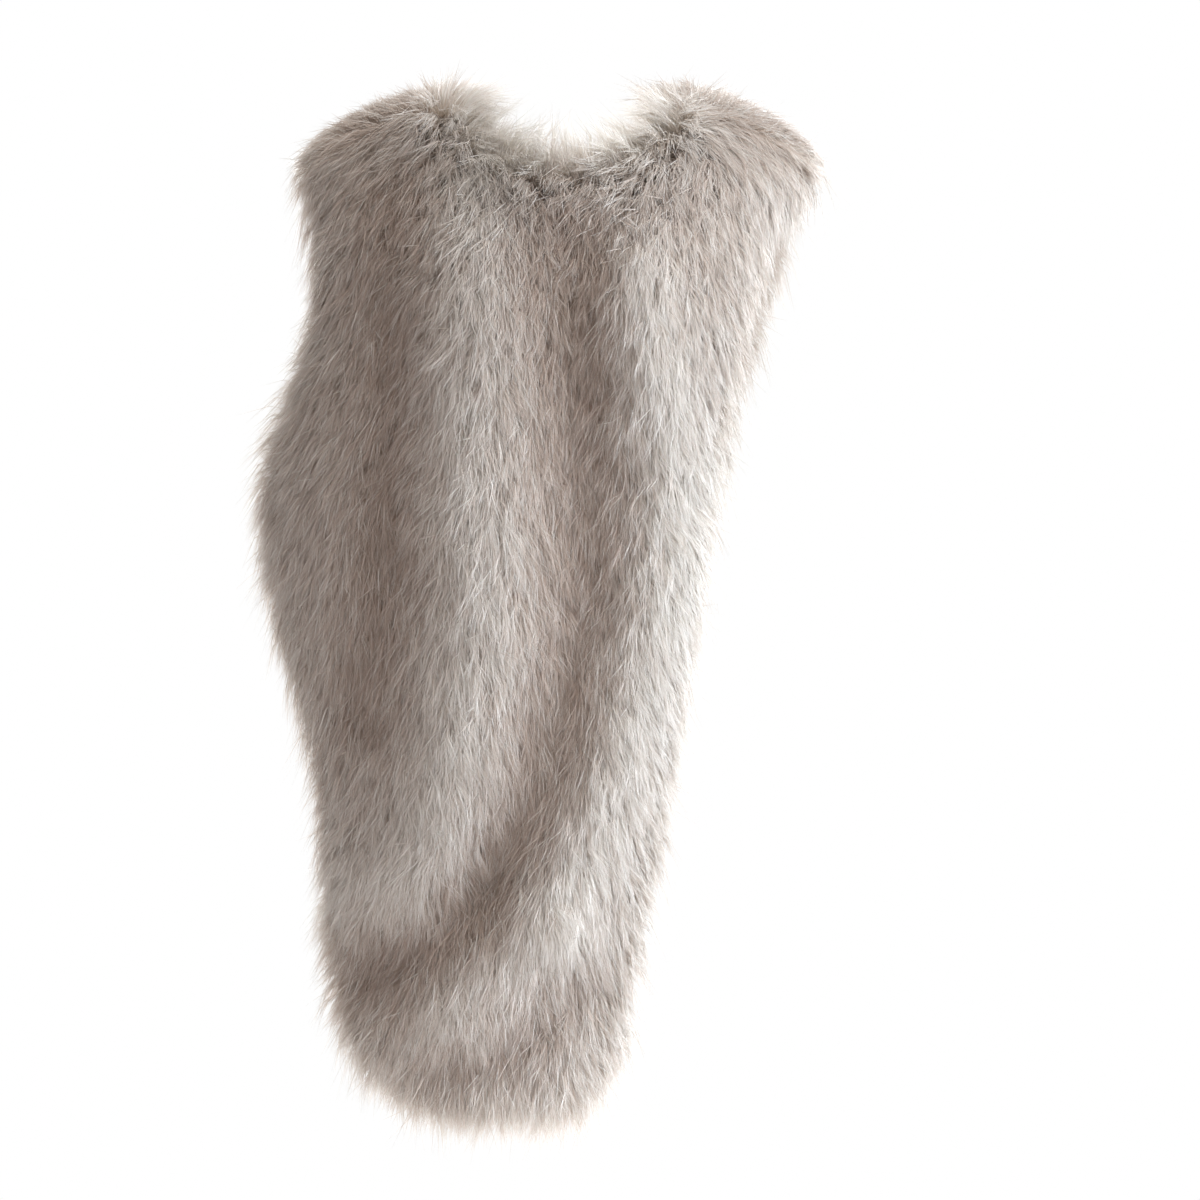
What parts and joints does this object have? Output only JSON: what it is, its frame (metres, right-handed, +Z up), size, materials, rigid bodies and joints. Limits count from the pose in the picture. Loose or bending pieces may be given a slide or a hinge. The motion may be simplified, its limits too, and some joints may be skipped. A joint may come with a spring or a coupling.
{
  "type": "faux fur vest",
  "caption": "Sleeveless long-pile faux fur vest with open sides, an open front and a back that tapers to a rounded tail, in its worn shape.",
  "frame": {"origin": "midway between the shoulders at the neck, level with the underside of the cloth that rests on them", "axes": "+Z up; the wearer faces -Y; +X is the wearer's left"},
  "size_m": [0.4696, 0.3569, 0.823],
  "materials": {
    "faux_fur": "long ivory pile on a knitted backing"
  },
  "bodies": {
    "root": {"back_panel": "faux_fur", "left_front": "faux_fur", "right_front": "faux_fur"}
  },
  "joints": []
}
